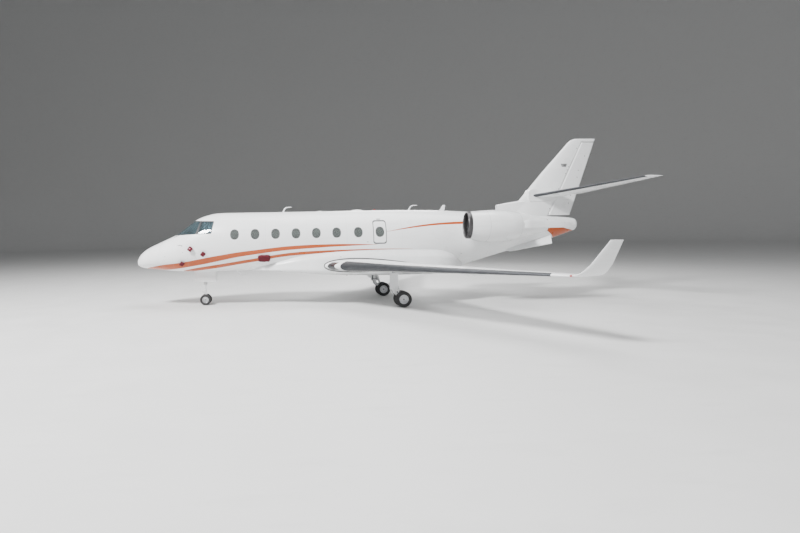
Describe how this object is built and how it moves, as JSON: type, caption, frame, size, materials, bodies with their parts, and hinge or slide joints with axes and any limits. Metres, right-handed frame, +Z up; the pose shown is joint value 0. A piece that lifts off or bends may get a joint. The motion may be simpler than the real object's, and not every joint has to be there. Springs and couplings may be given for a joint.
{
  "type": "business jet",
  "caption": "Swept-wing business jet with rear-mounted engine nacelles, winglets, opening doors, moving control surfaces and wheeled landing gear.",
  "frame": {"origin": "on the ground, under the middle of the overall length and on the plane of symmetry", "axes": "+X aft, +Y to starboard, +Z up"},
  "size_m": [18.97, 17.7008, 6.53],
  "materials": {
    "white_paint": "gloss white paint over aluminium",
    "composite_paint": "gloss white paint over composite",
    "bare_metal": "bare brushed metal leading edge",
    "lip_metal": "polished intake lip",
    "glazing": "tinted glazing",
    "leg_paint": "satin grey-white paint",
    "wheel_alloy": "satin alloy",
    "tyre": "matte black rubber",
    "fan_metal": "satin metal",
    "engine_metal": "dull heat-stained metal",
    "cabin_trim": "beige trim",
    "seat_leather": "tan leather",
    "panel": "matte black"
  },
  "bodies": {
    "airframe": {"radome": "composite_paint", "cockpit_shell": "white_paint", "windscreen_left": "glazing", "windscreen_right": "glazing", "side_window_left": "glazing", "side_window_right": "glazing", "entry_section": "white_paint", "cabin_shell": "white_paint", "cabin_glazing_left": "glazing", "cabin_glazing_right": "glazing", "exit_hatch": "white_paint", "aft_fuselage": "white_paint", "tail_cone": "composite_paint", "belly_fairing": "composite_paint", "cabin_floor": "cabin_trim", "flight_deck_panel": "panel", "pilot_seat_left": "seat_leather", "pilot_seat_right": "seat_leather", "wing_left": "white_paint", "wing_right": "white_paint", "winglet_left": "composite_paint", "winglet_right": "composite_paint", "fin": "composite_paint", "nacelle_left": "composite_paint", "nacelle_right": "composite_paint", "inlet_lip_left": "lip_metal", "inlet_lip_right": "lip_metal", "engine_core_left": "engine_metal", "engine_core_right": "engine_metal", "nose_leg": "leg_paint", "nose_gear_door_left": "composite_paint", "nose_gear_door_right": "composite_paint", "main_leg_left": "leg_paint", "main_leg_right": "leg_paint"},
    "entry_door": {"entry_door": "white_paint"},
    "baggage_door": {"baggage_door": "white_paint"},
    "rudder": {"rudder": "composite_paint"},
    "tailplane": {"tailplane": "composite_paint"},
    "nose_fork": {"nose_fork": "leg_paint"},
    "nose_wheels": {"nose_hubs": "wheel_alloy", "nose_tyre_left": "tyre", "nose_tyre_right": "tyre"},
    "slat_left": {"slat_left": "bare_metal"},
    "flap_left": {"flap_left": "composite_paint"},
    "aileron_left": {"aileron_left": "composite_paint"},
    "spoiler_left": {"spoiler_left": "composite_paint"},
    "elevator_left": {"elevator_left": "composite_paint"},
    "fan_left": {"fan_left": "fan_metal"},
    "main_wheels_left": {"main_hubs_left": "wheel_alloy", "main_tyre_left_inner": "tyre", "main_tyre_left_outer": "tyre"},
    "slat_right": {"slat_right": "bare_metal"},
    "flap_right": {"flap_right": "composite_paint"},
    "aileron_right": {"aileron_right": "composite_paint"},
    "spoiler_right": {"spoiler_right": "composite_paint"},
    "elevator_right": {"elevator_right": "composite_paint"},
    "fan_right": {"fan_right": "fan_metal"},
    "main_wheels_right": {"main_hubs_right": "wheel_alloy", "main_tyre_right_inner": "tyre", "main_tyre_right_outer": "tyre"}
  },
  "joints": [
    {"name": "nose_steering", "type": "hinge", "parent": "airframe", "child": "nose_fork", "pos_m": [-6.765, 0, 0.9], "axis": [0, 0, 1], "range_deg": [-60, 60]},
    {"name": "nose_wheel_spin", "type": "hinge", "parent": "nose_fork", "child": "nose_wheels", "pos_m": [-6.765, 0, 0.225], "axis": [0, 1, 0], "continuous": true},
    {"name": "main_wheel_spin_left", "type": "hinge", "parent": "airframe", "child": "main_wheels_left", "pos_m": [0.935, -1.66, 0.305], "axis": [0, 1, 0], "continuous": true},
    {"name": "main_wheel_spin_right", "type": "hinge", "parent": "airframe", "child": "main_wheels_right", "pos_m": [0.935, 1.66, 0.305], "axis": [0, 1, 0], "continuous": true},
    {"name": "fan_spin_left", "type": "hinge", "parent": "airframe", "child": "fan_left", "pos_m": [3.735, -1.925, 2.995], "axis": [1, 0, 0], "continuous": true},
    {"name": "fan_spin_right", "type": "hinge", "parent": "airframe", "child": "fan_right", "pos_m": [3.735, 1.925, 2.995], "axis": [1, 0, 0], "continuous": true},
    {"name": "entry_door_hinge", "type": "hinge", "parent": "airframe", "child": "entry_door", "pos_m": [-5.665, 0.75972, 1.648], "axis": [-1, 0, 0], "range_deg": [0, 130]},
    {"name": "baggage_door_hinge", "type": "hinge", "parent": "airframe", "child": "baggage_door", "pos_m": [2.237, 1.1696, 2.59], "axis": [0, 0, 1], "range_deg": [0, 100]},
    {"name": "rudder_hinge", "type": "hinge", "parent": "airframe", "child": "rudder", "pos_m": [7.455, 0, 3.42], "axis": [0.418, 0, 0.9084], "range_deg": [-25, 25]},
    {"name": "tailplane_trim", "type": "hinge", "parent": "airframe", "child": "tailplane", "pos_m": [7.535, 0, 4.25], "axis": [0, 1, 0], "range_deg": [-10, 3]},
    {"name": "slat_swing_left", "type": "hinge", "parent": "airframe", "child": "slat_left", "pos_m": [-1.185, -1.75, 1.04337], "axis": [0.5523, -0.8335, 0.0142], "range_deg": [0, 20]},
    {"name": "slat_swing_right", "type": "hinge", "parent": "airframe", "child": "slat_right", "pos_m": [-1.185, 1.75, 1.04337], "axis": [-0.5523, -0.8335, -0.0142], "range_deg": [0, 20]},
    {"name": "flap_hinge_left", "type": "hinge", "parent": "airframe", "child": "flap_left", "pos_m": [0.86, -1.335, 1.42426], "axis": [-0.3261, 0.945, -0.0248], "range_deg": [0, 40]},
    {"name": "flap_hinge_right", "type": "hinge", "parent": "airframe", "child": "flap_right", "pos_m": [0.86, 1.335, 1.42426], "axis": [0.3261, 0.945, 0.0248], "range_deg": [0, 40]},
    {"name": "aileron_hinge_left", "type": "hinge", "parent": "airframe", "child": "aileron_left", "pos_m": [2.43, -5.36, 1.64883], "axis": [-0.344, 0.9387, -0.0228], "range_deg": [-20, 20]},
    {"name": "aileron_hinge_right", "type": "hinge", "parent": "airframe", "child": "aileron_right", "pos_m": [2.43, 5.36, 1.64883], "axis": [0.344, 0.9387, 0.0228], "range_deg": [-20, 20]},
    {"name": "spoiler_hinge_left", "type": "hinge", "parent": "airframe", "child": "spoiler_left", "pos_m": [0.95297, -2.3, 1.72449], "axis": [0.3262, -0.9453, 0.006], "range_deg": [0, 50]},
    {"name": "spoiler_hinge_right", "type": "hinge", "parent": "airframe", "child": "spoiler_right", "pos_m": [0.95297, 2.3, 1.72449], "axis": [-0.3262, -0.9453, -0.006], "range_deg": [0, 50]},
    {"name": "elevator_hinge_left", "type": "hinge", "parent": "tailplane", "child": "elevator_left", "pos_m": [8.19, -0.46, 4.2681], "axis": [-0.3722, 0.9222, -0.1045], "range_deg": [-25, 15]},
    {"name": "elevator_hinge_right", "type": "hinge", "parent": "tailplane", "child": "elevator_right", "pos_m": [8.19, 0.46, 4.2681], "axis": [0.3722, 0.9222, 0.1045], "range_deg": [-25, 15]}
  ],
  "couplings": [
    {"joint": "slat_swing_right", "follows": "slat_swing_left", "ratio": 1},
    {"joint": "flap_hinge_right", "follows": "flap_hinge_left", "ratio": 1},
    {"joint": "aileron_hinge_right", "follows": "aileron_hinge_left", "ratio": -1},
    {"joint": "elevator_hinge_right", "follows": "elevator_hinge_left", "ratio": 1}
  ]
}
